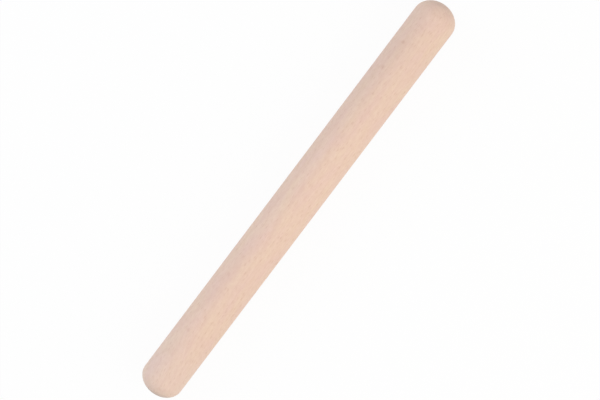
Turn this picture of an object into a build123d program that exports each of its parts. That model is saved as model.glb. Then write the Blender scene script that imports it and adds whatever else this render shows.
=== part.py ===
from build123d import *
import math
import os

# French rolling pin of the straight, dowel kind: one length of beech, turned round and domed at both ends.
# It has no handles, axle or bearings, so the whole tool is a single piece of wood.
# Lengths are millimetres. The pin lies along X, and the middle of its turning axis is the origin.

# Driving sizes
overall_length = 482.6  # from tip to tip, 19 inches
barrel_diameter = 44.45  # 1 3/4 inches, the same all along the straight barrel
left_dome_depth = 17.5  # how far the rounding at the -X end runs back from its tip
right_dome_depth = 18.8  # the same at the +X end, whose rounding is a little longer

# Places that follow from them
half_length = overall_length / 2
barrel_radius = barrel_diameter / 2
left_shoulder = left_dome_depth - half_length  # where the straight barrel starts
right_shoulder = half_length - right_dome_depth  # where it ends

# Weights of a dome's three points: with this pull towards the corner, the curve is exactly an ellipse
ellipse_weights = [1, math.sqrt(1 / 2), 1]


def end_dome(tip, shoulder):
    """Rounding of one end: a quarter of an ellipse, from the tip on the turning axis back to the barrel.
    It heads for the corner that a square-cut end would have, so it leaves the tip square to the axis
    and runs into the barrel without an edge."""
    corner = (tip, barrel_radius)
    return Bezier((tip, 0), corner, (shoulder, barrel_radius), weights=ellipse_weights)


def turned_pin():
    """The pin's outline from tip to tip, closed along the turning axis and turned once round it."""
    left_dome = end_dome(-half_length, left_shoulder)
    barrel = Line((left_shoulder, barrel_radius), (right_shoulder, barrel_radius))
    right_dome = end_dome(half_length, right_shoulder)
    turning_axis = Line((-half_length, 0), (half_length, 0))
    half_section = make_face([left_dome, barrel, right_dome, turning_axis])
    return revolve(Plane.XZ * half_section, axis=Axis.X)


os.makedirs("parts", exist_ok=True)
pin = turned_pin()
pin.label = "turned_pin"
export_step(pin, "parts/turned_pin.step")
print("turned_pin", round(pin.volume), "cubic millimetres, valid", pin.is_valid)
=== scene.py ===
import math

import bpy
from mathutils import Matrix, Vector


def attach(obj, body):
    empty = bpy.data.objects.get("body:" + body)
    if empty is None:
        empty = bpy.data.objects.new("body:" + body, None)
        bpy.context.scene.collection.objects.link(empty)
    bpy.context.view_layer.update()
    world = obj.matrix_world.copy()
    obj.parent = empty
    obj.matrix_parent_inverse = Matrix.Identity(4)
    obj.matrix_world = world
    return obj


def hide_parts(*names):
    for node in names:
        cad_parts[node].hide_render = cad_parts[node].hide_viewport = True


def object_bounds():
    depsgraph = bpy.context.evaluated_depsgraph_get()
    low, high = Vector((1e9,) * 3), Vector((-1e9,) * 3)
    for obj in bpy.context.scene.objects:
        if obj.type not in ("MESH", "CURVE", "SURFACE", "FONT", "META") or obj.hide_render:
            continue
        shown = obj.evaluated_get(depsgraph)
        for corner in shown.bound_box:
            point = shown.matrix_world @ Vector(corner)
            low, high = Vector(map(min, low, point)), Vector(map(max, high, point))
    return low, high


# French rolling pin: one length of beech, turned round and domed at both ends, lying on white paper.
# Everything is in metres and in the CAD frame: the pin lies along X, and its middle is the origin.
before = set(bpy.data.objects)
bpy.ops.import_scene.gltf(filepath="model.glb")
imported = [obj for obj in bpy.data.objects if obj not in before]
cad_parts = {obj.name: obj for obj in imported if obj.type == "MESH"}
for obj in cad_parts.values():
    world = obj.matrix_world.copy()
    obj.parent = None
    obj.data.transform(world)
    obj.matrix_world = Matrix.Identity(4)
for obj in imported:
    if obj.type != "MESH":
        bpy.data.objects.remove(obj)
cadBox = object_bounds()
mm = 0.001


def hexToLinear(text):  # sRGB hex to the linear colour that nodes and lamps take
    channels = [int(text[i:i + 2], 16) / 255 for i in (1, 3, 5)]
    return [c / 12.92 if c <= 0.04045 else ((c + 0.055) / 1.055) ** 2.4 for c in channels] + [1]


def addNode(tree, kind, inputs=None, **settings):
    # inputs gives each socket, by name or number, a value or the node or socket that feeds it
    node = tree.nodes.new(kind)
    for name, value in settings.items():
        setattr(node, name, value)
    for key, value in (inputs or {}).items():
        socket = node.inputs[key] if isinstance(key, int) else \
            next(s for s in node.inputs if s.enabled and s.name == key)
        if isinstance(value, bpy.types.Node):
            value = next(s for s in value.outputs if s.enabled)
        if isinstance(value, bpy.types.NodeSocket):
            tree.links.new(value, socket)
        else:
            socket.default_value = value
    return node


# The camera looks nearly straight down, with the pin's +X end a little nearer to it
photoView = {
    "distance": 1300 * mm,
    "lens": 78.56,  # in mm
    "sensor": 36,  # in mm, its width
    "tilt": 4.397,  # degrees off straight down, towards the +X end
    "lie": 52.878,  # degrees, how steeply the pin lies across the picture
    "aimAlong": 2.95 * mm,  # from the pin's middle
    "aimAcross": -1.64 * mm,
}


def setCamera(look):
    tilt, lie = math.radians(look["tilt"]), math.radians(look["lie"])
    back = Vector((math.sin(tilt), 0, math.cos(tilt)))
    along = Vector((math.cos(tilt), 0, -math.sin(tilt)))
    across = Vector((0, 1, 0))
    right = along * math.cos(lie) - across * math.sin(lie)
    up = along * math.sin(lie) + across * math.cos(lie)
    aim = along * look["aimAlong"] + across * look["aimAcross"]
    camera = bpy.data.objects.new("photoCamera", bpy.data.cameras.new("photoCamera"))
    turned = Matrix((right, up, back)).transposed().to_4x4()
    camera.matrix_world = Matrix.Translation(aim + back * look["distance"]) @ turned
    camera.data.lens = look["lens"]
    camera.data.sensor_width = look["sensor"]
    bpy.context.scene.collection.objects.link(camera)
    bpy.context.scene.camera = camera


setCamera(photoView)
print("camera set")


# Steamed European beech, turned on a lathe, sanded fine and left nearly bare: pale, pinkish and matt,
# with faint growth rings and the short darker dashes of its rays
beechLook = {
    "paleTone": "#EED3BD",
    "pinkTone": "#ECCDBF",
    "lateWood": "#D8B29C",
    "rayTone": "#CCA085",
    # end grain, darker than the wood's own end grain because it also paints the shade at the tips
    "endGrainAndShade": "#A8978E",
    "knotTone": "#B07048",
    "pithY": -35 * mm,  # the tree's middle lay below the pin and to one side, so from above its rings
    "pithZ": -70 * mm,  # look widest on the +Y half and closer together on the -Y half
    "trunkPitch": 1.0,  # degrees between the tree's middle and the pin's axis, seen from the side
    "trunkYaw": 0.6,  # and seen from above
    "leanStart": -100 * mm,  # from here to the -X tip the fibres bend away sideways
    "lean": 0.9,  # per metre: their sideways way is this times the distance squared
    "waveLength": 110 * mm,
    "waveWidth": 45 * mm,
    "waveHeight": 5 * mm,
    "waveDetail": 2.0,
    "ringSpacing": 2.8 * mm,
    "ringUnevenness": 2.4 * mm,
    "weatherYears": 3,  # how many rings a spell of good or bad growth lasts
    "weatherDetail": 1.0,
    "ringProfile": (  # share of the year's growth, and how dark its wood is there
        (0.0, 0.1), (0.12, 0.0), (0.6, 0.25), (0.9, 1.0), (1.0, 0.1)),
    "ringStrength": 0.26,  # how far the wood turns to lateWood where a ring is darkest, as in other tones
    "faintestRing": 0.35,  # share of that strength
    "rayLength": 6 * mm,  # spacing of the rays along the grain, a third longer than a ray
    "raySpacing": 0.9 * mm,  # real ones are 0.1 to 0.3 mm wide, too fine to show, so they are drawn coarser
    "rayDepth": 12 * mm,
    "rayStrength": 0.41,
    "fineRayLength": 2.1 * mm,
    "fineRaySpacing": 0.42 * mm,
    "fineRayStrength": 0.27,
    "rayCore": 0.08,  # a ray fades from its core
    "rayEdge": 0.5,  # to its edge, both in shares of its spacing
    "raysLeftOut": 0.3,  # share of the rays
    "streakLength": 6 * mm,
    "streakWidth": 0.5 * mm,  # pores and fibres are ten times finer, so they are drawn coarser
    "streakDetail": 3.0,
    "streakStrength": 0.24,
    "mottleLength": 5.5 * mm,
    "mottleWidth": 2.4 * mm,
    "mottleDetail": 1.0,
    "mottleStrength": 0.19,
    "markStart": 0.35,  # level of the noise at which a streak or mottle starts
    "markFull": 0.72,  # and at which it is full
    "patchLength": 32 * mm,
    "patchWidth": 9 * mm,
    "patchDetail": 3.0,
    "patchPink": 0.32,  # level of the noise at which the wood is all pink
    "patchPale": 0.68,  # and at which it is all pale
    "noiseRoughness": 0.55,  # weight of the finer variation in streaks, mottling and patches
    "speckTone": "#C48E68",
    "speckSpacing": 17 * mm,
    "speckRadius": 0.13,  # in shares of the spacing
    "specksLeftOut": 0.6,  # share of the specks
    "speckStrength": 0.22,
    "endStart": 0.58,  # end grain starts where the cosine between the dome's normal and the fibres is this,
    "endFull": 0.78,  # and is full where it is this
    "endMottle": 0.16,  # how much the mottling takes off the cosine
    "endRings": 0.35,  # how much more the late wood of each ring darkens there
    "leftEndGrainAndShade": 0.29,  # the -X tip is the darker one: its end grain is darkened further as painted shade along its lower outline
    "rightEndGrainAndShade": 0.1,
    "rightEndLean": 0.36,  # the fibres' sideways bend at the +X tip, per length, which also places the painted shade at that tip
    "duskTone": "#AD988A",  # darker a little towards the +X end,
    "duskStart": 40 * mm,
    "duskEnd": 180 * mm,
    "duskStrength": 0.054,
    "paleGreyTone": "#E5E1DE",  # and paler and greyer before the -X tip
    "paleGreyStart": -150 * mm,
    "paleGreyEnd": -225 * mm,
    "paleGreyStrength": 0.1,
    "smoothLevel": 0.3,  # at this level of the streaks' noise
    "smoothest": 0.56,  # the sanded wood has this roughness,
    "roughLevel": 0.7,  # and at this one
    "roughest": 0.66,  # it has this
    "bumpStrength": 0.4,
    "bumpDepth": 0.02 * mm,
    "ior": 1.5,
    "knotCore": 0.2,  # share of a knot's radius that is evenly dark
    "knots": (  # pin knots, the clear ones and the faint: place, radius and strength
        ((187.1 * mm, 10.9 * mm, 19.4 * mm), 2.9 * mm, 0.21),
        ((156.3 * mm, 12.4 * mm, 18.4 * mm), 3.4 * mm, 0.13),
        ((129.7 * mm, 4.1 * mm, 21.8 * mm), 2.1 * mm, 0.12),
        ((144.2 * mm, 0.6 * mm, 22.2 * mm), 2.0 * mm, 0.09),
        ((208.2 * mm, 5.0 * mm, 21.7 * mm), 2.5 * mm, 0.09),
        ((-164.8 * mm, 9.1 * mm, 20.3 * mm), 2.8 * mm, 0.09),
        ((-96.2 * mm, 10.2 * mm, 19.8 * mm), 2.8 * mm, 0.13),
        ((62.0 * mm, -9.0 * mm, -20.3 * mm), 2.8 * mm, 0.20),
        ((-148.0 * mm, 16.0 * mm, -15.4 * mm), 2.5 * mm, 0.14),
    ),
}


def placeInTree(tree, look, place, inX):
    # where a point of the pin grew: along the trunk, round its middle and out from its middle
    felled = addNode(tree, "ShaderNodeMapping", {
        "Vector": place, "Location": (0, -look["pithY"], -look["pithZ"]),
        "Rotation": (0, math.radians(look["trunkPitch"]), math.radians(look["trunkYaw"]))})
    pastStart = addNode(tree, "ShaderNodeMath", {0: inX, 1: look["leanStart"]}, operation="SUBTRACT")
    leftward = addNode(tree, "ShaderNodeMath", {0: pastStart, 1: 0.0}, operation="MINIMUM")
    squared = addNode(tree, "ShaderNodeMath", {0: leftward, 1: leftward}, operation="MULTIPLY")
    drift = addNode(tree, "ShaderNodeMath", {0: squared, 1: look["lean"]}, operation="MULTIPLY")
    driftAcross = addNode(tree, "ShaderNodeCombineXYZ", {1: drift})
    straight = addNode(tree, "ShaderNodeVectorMath", {0: felled, 1: driftAcross}, operation="ADD")
    # slow waves in the grain
    waveScale = (1 / look["waveLength"], 1 / look["waveWidth"], 1 / look["waveWidth"])
    slow = addNode(tree, "ShaderNodeVectorMath", {0: straight, 1: waveScale}, operation="MULTIPLY")
    wave = addNode(tree, "ShaderNodeTexNoise", {"Vector": slow, "Scale": 1.0, "Detail": look["waveDetail"]})
    middleLevel = (0.5, 0.5, 0.5)
    centred = addNode(tree, "ShaderNodeVectorMath", {0: wave.outputs["Color"], 1: middleLevel},
                      operation="SUBTRACT")
    waveHeights = (0, look["waveHeight"], look["waveHeight"])
    waved = addNode(tree, "ShaderNodeVectorMath", {0: centred, 1: waveHeights}, operation="MULTIPLY")
    grain = addNode(tree, "ShaderNodeVectorMath", {0: straight, 1: waved}, operation="ADD")
    along, inY, inZ = addNode(tree, "ShaderNodeSeparateXYZ", {0: grain}).outputs
    section = addNode(tree, "ShaderNodeCombineXYZ", {1: inY, 2: inZ})
    fromPith = addNode(tree, "ShaderNodeVectorMath", {0: section}, operation="LENGTH").outputs["Value"]
    angle = addNode(tree, "ShaderNodeMath", {0: inY, 1: inZ}, operation="ARCTAN2")
    roundPith = addNode(tree, "ShaderNodeMath", {0: angle, 1: -look["pithZ"]}, operation="MULTIPLY")
    trunk = addNode(tree, "ShaderNodeCombineXYZ", {0: along, 1: roundPith, 2: fromPith})
    return trunk, fromPith


def growthRings(tree, look, fromPith):
    # rings of uneven width and darkness, each with a dark line of late wood
    years = addNode(tree, "ShaderNodeMath", {0: fromPith, 1: look["weatherYears"] * look["ringSpacing"]},
                    operation="DIVIDE")
    weather = addNode(tree, "ShaderNodeTexNoise", {
        "W": years, "Scale": 1.0, "Detail": look["weatherDetail"]}, noise_dimensions="1D")
    grown = addNode(tree, "ShaderNodeMath", {0: weather, 1: look["ringUnevenness"], 2: fromPith},
                    operation="MULTIPLY_ADD")
    ringCount = addNode(tree, "ShaderNodeMath", {0: grown, 1: look["ringSpacing"]}, operation="DIVIDE")
    ringPhase = addNode(tree, "ShaderNodeMath", {0: ringCount}, operation="FRACT")
    ringNumber = addNode(tree, "ShaderNodeMath", {0: ringCount}, operation="FLOOR")
    ring = addNode(tree, "ShaderNodeValToRGB", {"Fac": ringPhase})
    stops = ring.color_ramp.elements  # a new ramp has two
    while len(stops) < len(look["ringProfile"]):
        stops.new(1.0)
    for stop, (position, level) in zip(stops, look["ringProfile"]):
        stop.position, stop.color = position, (level, level, level, 1)
    ringChance = addNode(tree, "ShaderNodeTexWhiteNoise", {"W": ringNumber}, noise_dimensions="1D")
    ringDepth = addNode(tree, "ShaderNodeMapRange", {
        "Value": ringChance.outputs["Value"], "To Min": look["faintestRing"] * look["ringStrength"],
        "To Max": look["ringStrength"]})
    lateShare = addNode(tree, "ShaderNodeMath", {0: ring, 1: ringDepth}, operation="MULTIPLY")
    return ring, lateShare


def rayFlecks(tree, look, trunk):
    # broad ones and fine ones, a dark spindle in each cell of the pattern but for those left out
    flecks = []
    for length, spacing, strength in (
            (look["rayLength"], look["raySpacing"], look["rayStrength"]),
            (look["fineRayLength"], look["fineRaySpacing"], look["fineRayStrength"])):
        fleckScale = (1 / length, 1 / spacing, 1 / look["rayDepth"])
        fleckPlace = addNode(tree, "ShaderNodeVectorMath", {0: trunk, 1: fleckScale}, operation="MULTIPLY")
        cells = addNode(tree, "ShaderNodeTexVoronoi", {"Vector": fleckPlace, "Scale": 1.0})
        spindle = addNode(tree, "ShaderNodeMapRange", {
            "Value": cells.outputs["Distance"], "From Min": look["rayEdge"], "From Max": look["rayCore"]},
            interpolation_type="SMOOTHSTEP")
        cellTint = addNode(tree, "ShaderNodeSeparateColor", {0: cells.outputs["Color"]})
        chosen = addNode(tree, "ShaderNodeMapRange", {
            "Value": cellTint.outputs[0], "From Min": look["raysLeftOut"], "From Max": 1.0,
            "To Max": strength})
        flecks.append(addNode(tree, "ShaderNodeMath", {0: spindle, 1: chosen}, operation="MULTIPLY"))
    return addNode(tree, "ShaderNodeMath", {0: flecks[0], 1: flecks[1]}, operation="MAXIMUM")


def fibreNoises(tree, look, trunk):
    # fibre streaks, mottling and broad patches, all drawn out along the grain
    noises = []
    for length, width, detail in (
            (look["streakLength"], look["streakWidth"], look["streakDetail"]),
            (look["mottleLength"], look["mottleWidth"], look["mottleDetail"]),
            (look["patchLength"], look["patchWidth"], look["patchDetail"])):
        noiseScale = (1 / length, 1 / width, 1 / width)
        noisePlace = addNode(tree, "ShaderNodeVectorMath", {0: trunk, 1: noiseScale}, operation="MULTIPLY")
        noises.append(addNode(tree, "ShaderNodeTexNoise", {
            "Vector": noisePlace, "Scale": 1.0, "Detail": detail, "Roughness": look["noiseRoughness"]}))
    return noises


def softSpecks(tree, look, trunk):
    # sparse ones, where a bud or a bruise in the growing tree left its mark
    speckPlace = addNode(tree, "ShaderNodeVectorMath", {0: trunk, "Scale": 1 / look["speckSpacing"]},
                         operation="SCALE")
    speckCells = addNode(tree, "ShaderNodeTexVoronoi", {"Vector": speckPlace, "Scale": 1.0})
    speckTint = addNode(tree, "ShaderNodeSeparateColor", {0: speckCells.outputs["Color"]})
    speckDepth = addNode(tree, "ShaderNodeMapRange", {
        "Value": speckTint.outputs[0], "From Min": look["specksLeftOut"], "From Max": 1.0,
        "To Max": look["speckStrength"]})
    speckSpot = addNode(tree, "ShaderNodeMapRange", {
        "Value": speckCells.outputs["Distance"], "From Min": look["speckRadius"], "From Max": 0.0},
        interpolation_type="SMOOTHSTEP")
    return addNode(tree, "ShaderNodeMath", {0: speckSpot, 1: speckDepth}, operation="MULTIPLY")


def endGrainAndShade(tree, look, shape, place, mottle, ring):
    # greyer wood with clear rings, where the domes cut squarely across the fibres, darkened further towards
    # the tips as painted shade, most at the -X tip
    halfLength = shape["Overall Length"] / 2
    leftEndLean = 2 * look["lean"] * (look["leanStart"] + halfLength)  # how steep the bend is at the tip
    roundness = 1 / shape["Barrel Radius"] ** 2
    tipGrainAndShade = 0.0
    for side, depth, lean, strength in (
            (-1, shape["Left Dome Depth"], -leftEndLean, look["leftEndGrainAndShade"]),
            (1, shape["Right Dome Depth"], look["rightEndLean"], look["rightEndGrainAndShade"])):
        shoulder = (side * (halfLength - depth), 0, 0)
        fromShoulder = addNode(tree, "ShaderNodeVectorMath", {0: place, 1: shoulder}, operation="SUBTRACT")
        slope = addNode(tree, "ShaderNodeVectorMath", {
            0: fromShoulder, 1: (1 / depth ** 2, roundness, roundness)}, operation="MULTIPLY")
        outward = addNode(tree, "ShaderNodeVectorMath", {0: slope}, operation="NORMALIZE")
        fibre = Vector((side, lean, 0)).normalized()
        squareness = addNode(tree, "ShaderNodeVectorMath", {0: outward, 1: fibre},
                             operation="DOT_PRODUCT").outputs["Value"]
        mottled = addNode(tree, "ShaderNodeMath", {0: mottle, 1: -look["endMottle"], 2: squareness},
                          operation="MULTIPLY_ADD")
        cut = addNode(tree, "ShaderNodeMapRange", {
            "Value": mottled, "From Min": look["endStart"], "From Max": look["endFull"], "To Max": strength},
            interpolation_type="SMOOTHSTEP")
        tipGrainAndShade = addNode(tree, "ShaderNodeMath", {0: tipGrainAndShade, 1: cut}, operation="MAXIMUM")
    ringed = addNode(tree, "ShaderNodeMath", {0: ring, 1: look["endRings"], 2: 1.0}, operation="MULTIPLY_ADD")
    return addNode(tree, "ShaderNodeMath", {0: tipGrainAndShade, 1: ringed}, operation="MULTIPLY")


def pinKnots(tree, look, place):
    knotShare = 0.0
    for middle, radius, strength in look["knots"]:
        distance = addNode(tree, "ShaderNodeVectorMath", {0: place, 1: middle}, operation="DISTANCE")
        spot = addNode(tree, "ShaderNodeMapRange", {
            "Value": distance, "From Min": radius, "From Max": look["knotCore"] * radius,
            "To Max": strength}, interpolation_type="SMOOTHSTEP")
        knotShare = addNode(tree, "ShaderNodeMath", {0: knotShare, 1: spot}, operation="MAXIMUM")
    return knotShare


def makeBeech(look, shape):
    material = bpy.data.materials.new("turnedSandedBeech")
    material.use_nodes = True
    tree = material.node_tree
    tree.nodes.clear()
    place = addNode(tree, "ShaderNodeTexCoord").outputs["Object"]
    inX = addNode(tree, "ShaderNodeSeparateXYZ", {0: place}).outputs[0]
    trunk, fromPith = placeInTree(tree, look, place, inX)
    ring, lateShare = growthRings(tree, look, fromPith)
    fleckShare = rayFlecks(tree, look, trunk)
    streak, mottle, patch = fibreNoises(tree, look, trunk)
    streakShare = addNode(tree, "ShaderNodeMapRange", {
        "Value": streak, "From Min": look["markStart"], "From Max": look["markFull"],
        "To Max": look["streakStrength"]})
    mottleShare = addNode(tree, "ShaderNodeMapRange", {
        "Value": mottle, "From Min": look["markStart"], "From Max": look["markFull"],
        "To Max": look["mottleStrength"]})
    patchShare = addNode(tree, "ShaderNodeMapRange", {
        "Value": patch, "From Min": look["patchPink"], "From Max": look["patchPale"]})
    speckShare = softSpecks(tree, look, trunk)
    endGrainAndShadeShare = endGrainAndShade(tree, look, shape, place, mottle, ring)
    knotShare = pinKnots(tree, look, place)
    duskShare = addNode(tree, "ShaderNodeMapRange", {
        "Value": inX, "From Min": look["duskStart"], "From Max": look["duskEnd"],
        "To Max": look["duskStrength"]}, interpolation_type="SMOOTHSTEP")
    paleGreyShare = addNode(tree, "ShaderNodeMapRange", {
        "Value": inX, "From Min": look["paleGreyStart"], "From Max": look["paleGreyEnd"],
        "To Max": look["paleGreyStrength"]}, interpolation_type="SMOOTHSTEP")

    # each mark's tone goes over the ones before it
    tone = hexToLinear(look["pinkTone"])
    for share, colour in ((patchShare, "paleTone"), (lateShare, "lateWood"), (mottleShare, "lateWood"),
                          (streakShare, "lateWood"), (fleckShare, "rayTone"), (speckShare, "speckTone"),
                          (endGrainAndShadeShare, "endGrainAndShade"), (duskShare, "duskTone"), (paleGreyShare, "paleGreyTone"),
                          (knotShare, "knotTone")):
        tone = addNode(tree, "ShaderNodeMix", {"Factor": share, "A": tone, "B": hexToLinear(look[colour])},
                       data_type="RGBA")

    roughness = addNode(tree, "ShaderNodeMapRange", {
        "Value": streak, "From Min": look["smoothLevel"], "From Max": look["roughLevel"],
        "To Min": look["smoothest"], "To Max": look["roughest"]})
    height = addNode(tree, "ShaderNodeMath", {0: streak, 1: fleckShare}, operation="SUBTRACT")
    bump = addNode(tree, "ShaderNodeBump", {
        "Height": height, "Strength": look["bumpStrength"], "Distance": look["bumpDepth"]})
    shader = addNode(tree, "ShaderNodeBsdfPrincipled", {
        "Base Color": tone, "Roughness": roughness, "Normal": bump, "IOR": look["ior"]})
    addNode(tree, "ShaderNodeOutputMaterial", {"Surface": shader})
    return material


# The pin is a sheet of vertices rolled round its axis, closed along one seam and at both tips
pinShape = {
    "Overall Length": 482.6 * mm,
    "Barrel Radius": 22.225 * mm,
    "Left Dome Depth": 17.5 * mm,  # at the -X end
    "Right Dome Depth": 18.8 * mm,
    "Sides": 160,
    "Barrel Rings": 96,
    "Dome Rings": 28,
    "Dome Map Radius": 0.128,  # sizes on the texture map are shares of its side
    "Barrel Map Foot": 0.275,
}


def makeLathe(shape):
    tree = bpy.data.node_groups.new("turnedPinLathe", "GeometryNodeTree")
    for name, value in shape.items():
        kind = "NodeSocketInt" if isinstance(value, int) else "NodeSocketFloat"
        tree.interface.new_socket(name, in_out="INPUT", socket_type=kind)
    tree.interface.new_socket("Finish", in_out="INPUT", socket_type="NodeSocketMaterial")
    tree.interface.new_socket("Geometry", in_out="OUTPUT", socket_type="NodeSocketGeometry")
    size = addNode(tree, "NodeGroupInput").outputs

    # the rings are counted from the -X tip
    rightDome = addNode(tree, "ShaderNodeMath", {0: size["Dome Rings"], 1: size["Barrel Rings"]},
                        operation="ADD")
    lastRing = addNode(tree, "ShaderNodeMath", {0: rightDome, 1: size["Dome Rings"]}, operation="ADD")
    ringPoints = addNode(tree, "ShaderNodeMath", {0: lastRing, 1: 1.0}, operation="ADD")
    sidePoints = addNode(tree, "ShaderNodeMath", {0: size["Sides"], 1: 1.0}, operation="ADD")
    sheet = addNode(tree, "GeometryNodeMeshGrid", {"Vertices X": ringPoints, "Vertices Y": sidePoints})
    flat = addNode(tree, "ShaderNodeSeparateXYZ", {0: sheet.outputs["UV Map"]}).outputs
    ring = addNode(tree, "ShaderNodeMath", {0: flat[0], 1: lastRing}, operation="MULTIPLY")
    turn = addNode(tree, "ShaderNodeMath", {0: flat[1], 1: 2 * math.pi}, operation="MULTIPLY")

    # where the ring is: a quarter of an ellipse at each end, and straight between
    halfLength = addNode(tree, "ShaderNodeMath", {0: size["Overall Length"], 1: 0.5}, operation="MULTIPLY")
    leftShoulder = addNode(tree, "ShaderNodeMath", {0: size["Left Dome Depth"], 1: halfLength},
                           operation="SUBTRACT")
    rightShoulder = addNode(tree, "ShaderNodeMath", {0: halfLength, 1: size["Right Dome Depth"]},
                            operation="SUBTRACT")
    onBarrel = addNode(tree, "ShaderNodeMapRange", {
        "Value": ring, "From Min": size["Dome Rings"], "From Max": rightDome,
        "To Min": leftShoulder, "To Max": rightShoulder})
    leftTurn = addNode(tree, "ShaderNodeMapRange", {
        "Value": ring, "From Min": 0.0, "From Max": size["Dome Rings"],
        "To Min": 0.0, "To Max": math.pi / 2})
    rightTurn = addNode(tree, "ShaderNodeMapRange", {
        "Value": ring, "From Min": rightDome, "From Max": lastRing,
        "To Min": math.pi / 2, "To Max": 0.0})
    leftCosine = addNode(tree, "ShaderNodeMath", {0: leftTurn}, operation="COSINE")
    leftOut = addNode(tree, "ShaderNodeMath", {0: leftCosine, 1: size["Left Dome Depth"]},
                      operation="MULTIPLY")
    rightCosine = addNode(tree, "ShaderNodeMath", {0: rightTurn}, operation="COSINE")
    beforeRight = addNode(tree, "ShaderNodeMath", {0: onBarrel, 1: leftOut}, operation="SUBTRACT")
    ringX = addNode(tree, "ShaderNodeMath", {0: rightCosine, 1: size["Right Dome Depth"], 2: beforeRight},
                    operation="MULTIPLY_ADD")
    leftSine = addNode(tree, "ShaderNodeMath", {0: leftTurn}, operation="SINE")
    rightSine = addNode(tree, "ShaderNodeMath", {0: rightTurn}, operation="SINE")
    bothSines = addNode(tree, "ShaderNodeMath", {0: leftSine, 1: rightSine}, operation="MULTIPLY")
    ringRadius = addNode(tree, "ShaderNodeMath", {0: bothSines, 1: size["Barrel Radius"]},
                         operation="MULTIPLY")
    below = addNode(tree, "ShaderNodeMath", {0: ringRadius, 1: -1.0}, operation="MULTIPLY")
    seamPoint = addNode(tree, "ShaderNodeCombineXYZ", {0: ringX, 2: below})  # the seam lies underneath
    rolled = addNode(tree, "ShaderNodeVectorRotate", {"Vector": seamPoint, "Angle": turn},
                     rotation_type="X_AXIS", invert=True)
    pin = addNode(tree, "GeometryNodeSetPosition", {"Geometry": sheet, "Position": rolled})

    # texture map: the barrel as one long strip, the domes as two discs under it
    mapMargin = 0.004  # like the other sizes on the map, a share of its side
    discPlace, discStep = 0.137, 0.27  # middle of the first disc, and the way to the next
    mapX = addNode(tree, "ShaderNodeMapRange", {
        "Value": ring, "From Min": size["Dome Rings"], "From Max": rightDome,
        "To Min": mapMargin, "To Max": 1 - mapMargin})
    mapY = addNode(tree, "ShaderNodeMapRange", {
        "Value": flat[1], "From Min": 0.0, "From Max": 1.0,
        "To Min": size["Barrel Map Foot"], "To Max": 1 - mapMargin})
    strip = addNode(tree, "ShaderNodeCombineXYZ", {0: mapX, 1: mapY})
    discs = []
    for dome, side in ((leftTurn, 0), (rightTurn, 1)):
        share = addNode(tree, "ShaderNodeMath", {0: dome, 1: -2 / math.pi}, operation="MULTIPLY")
        spoke = addNode(tree, "ShaderNodeMath", {0: share, 1: size["Dome Map Radius"]}, operation="MULTIPLY")
        foot = addNode(tree, "ShaderNodeCombineXYZ", {side: spoke})
        spun = addNode(tree, "ShaderNodeVectorRotate", {"Vector": foot, "Angle": turn},
                       rotation_type="Z_AXIS", invert=bool(side))
        middle = (discPlace + discStep * side, discPlace, 0)
        discs.append(addNode(tree, "ShaderNodeVectorMath", {0: spun, 1: middle}, operation="ADD"))
    faceRing = addNode(tree, "GeometryNodeFieldOnDomain", {"Value": ring}, domain="FACE")
    onLeft = addNode(tree, "FunctionNodeCompare", {"A": faceRing, "B": size["Dome Rings"]},
                     operation="LESS_THAN")
    onRight = addNode(tree, "FunctionNodeCompare", {"A": faceRing, "B": rightDome},
                      operation="GREATER_THAN")
    leftOrStrip = addNode(tree, "GeometryNodeSwitch", {"Switch": onLeft, "False": strip, "True": discs[0]},
                          input_type="VECTOR")
    mapPlace = addNode(tree, "GeometryNodeSwitch", {
        "Switch": onRight, "False": leftOrStrip, "True": discs[1]}, input_type="VECTOR")
    mapped = addNode(tree, "GeometryNodeStoreNamedAttribute", {
        "Geometry": pin, "Name": "OFBake", "Value": mapPlace}, data_type="FLOAT2", domain="CORNER")

    seamReach = 0.005 * mm
    closed = addNode(tree, "GeometryNodeMergeByDistance", {"Geometry": mapped, "Distance": seamReach})
    smooth = addNode(tree, "GeometryNodeSetShadeSmooth", {"Geometry": closed, "Shade Smooth": True})
    real = addNode(tree, "GeometryNodeRealizeInstances", {"Geometry": smooth})
    finished = addNode(tree, "GeometryNodeSetMaterial", {"Geometry": real, "Material": size["Finish"]})
    addNode(tree, "NodeGroupOutput", {"Geometry": finished})
    return tree


def turnPin(shape, finish):
    pin = bpy.data.objects.new("turnedPin", bpy.data.meshes.new("turnedPin"))
    bpy.context.scene.collection.objects.link(pin)
    lathe = pin.modifiers.new("lathe", "NODES")
    lathe.node_group = makeLathe(shape)
    for socket in lathe.node_group.interface.items_tree:
        if socket.in_out == "INPUT":
            lathe[socket.identifier] = shape.get(socket.name, finish)
    turned = pin.evaluated_get(bpy.context.evaluated_depsgraph_get())
    pin.data = bpy.data.meshes.new_from_object(turned)
    pin.modifiers.remove(lathe)
    pin.data.name = "turnedPin"
    return pin


turnedPin = turnPin(pinShape, makeBeech(beechLook, pinShape))
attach(turnedPin, "root")
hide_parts("turned_pin")
print("pin turned:", len(turnedPin.data.polygons), "faces")


# A sheet of white paper under soft lamps
studio = {
    "paper": "#F4F4F4",
    "paperGlow": 0.94,  # share of plain white that the camera sees in the paper, over its own shading
    "paperSize": 12.0,  # in metres
    "skyTint": "#F6FCFF",
    "skyLevel": 0.62,
    "lamps": {  # place and width in metres, watts and colour
        "keySide": ((0.2, -1.3, 0.95), 1.0, 8.47, "#FFFFF2"),
        "fillSide": ((-0.2, 1.3, 0.95), 1.0, 7.7, "#D5EBFF"),
        "overhead": ((0.0, 0.0, 1.7), 1.3, 4.45, "#FFBD9D"),
    },
}
plainWhite = (1, 1, 1, 1)


def seenByCamera(tree):  # directly, in what mirrors the surroundings, or through what lets them through
    ray = addNode(tree, "ShaderNodeLightPath").outputs
    mirrored = addNode(tree, "ShaderNodeMath", {
        0: ray["Is Glossy Ray"], 1: ray["Is Transmission Ray"]}, operation="MAXIMUM")
    return addNode(tree, "ShaderNodeMath", {0: ray["Is Camera Ray"], 1: mirrored}, operation="MAXIMUM")


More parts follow.
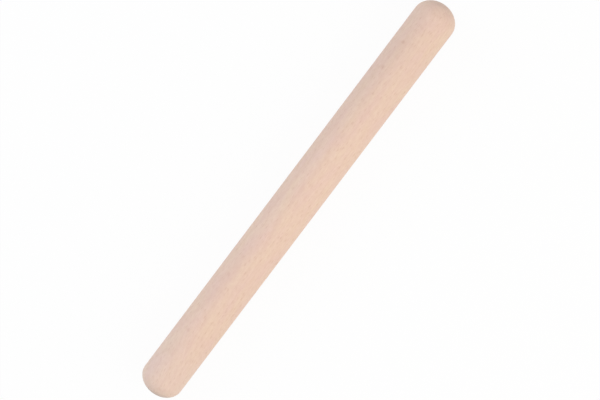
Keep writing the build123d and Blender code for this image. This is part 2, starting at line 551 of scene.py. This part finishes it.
def layPaper(look):
    side = look["paperSize"] / 2
    low = cadBox[0].z
    mesh = bpy.data.meshes.new("paperSheet")
    mesh.from_pydata([(-side, -side, low), (side, -side, low), (side, side, low), (-side, side, low)],
                     [], [(0, 1, 2, 3)])
    paper = bpy.data.objects.new("paperSheet", mesh)
    bpy.context.scene.collection.objects.link(paper)
    material = bpy.data.materials.new("whitePaper")
    material.use_nodes = True
    tree = material.node_tree
    tree.nodes.clear()
    matt = addNode(tree, "ShaderNodeBsdfDiffuse", {"Color": hexToLinear(look["paper"])})
    glow = addNode(tree, "ShaderNodeEmission", {"Color": plainWhite, "Strength": 1.0})
    share = addNode(tree, "ShaderNodeMath", {0: seenByCamera(tree), 1: look["paperGlow"]},
                    operation="MULTIPLY")
    both = addNode(tree, "ShaderNodeMixShader", {0: share, 1: matt, 2: glow})
    addNode(tree, "ShaderNodeOutputMaterial", {"Surface": both})
    mesh.materials.append(material)


def lightStudio(look):
    world = bpy.data.worlds.new("paleRoom")
    bpy.context.scene.world = world
    world.use_nodes = True
    tree = world.node_tree
    tree.nodes.clear()
    fill = addNode(tree, "ShaderNodeBackground", {
        "Color": hexToLinear(look["skyTint"]), "Strength": look["skyLevel"]})
    white = addNode(tree, "ShaderNodeBackground", {"Color": plainWhite, "Strength": 1.0})
    both = addNode(tree, "ShaderNodeMixShader", {0: seenByCamera(tree), 1: fill, 2: white})
    addNode(tree, "ShaderNodeOutputWorld", {"Surface": both})
    for name, (place, width, watts, tint) in look["lamps"].items():
        lamp = bpy.data.objects.new(name, bpy.data.lights.new(name, "AREA"))
        lamp.data.shape = "SQUARE"
        lamp.data.size = width
        lamp.data.energy = watts
        lamp.data.color = hexToLinear(tint)[:3]
        lamp.visible_camera = False
        facingPin = Vector(place).to_track_quat("Z", "Y").to_matrix().to_4x4()
        lamp.matrix_world = Matrix.Translation(place) @ facingPin
        bpy.context.scene.collection.objects.link(lamp)


layPaper(studio)
lightStudio(studio)
bpy.context.scene.view_settings.view_transform = "Standard"
print("studio lit")
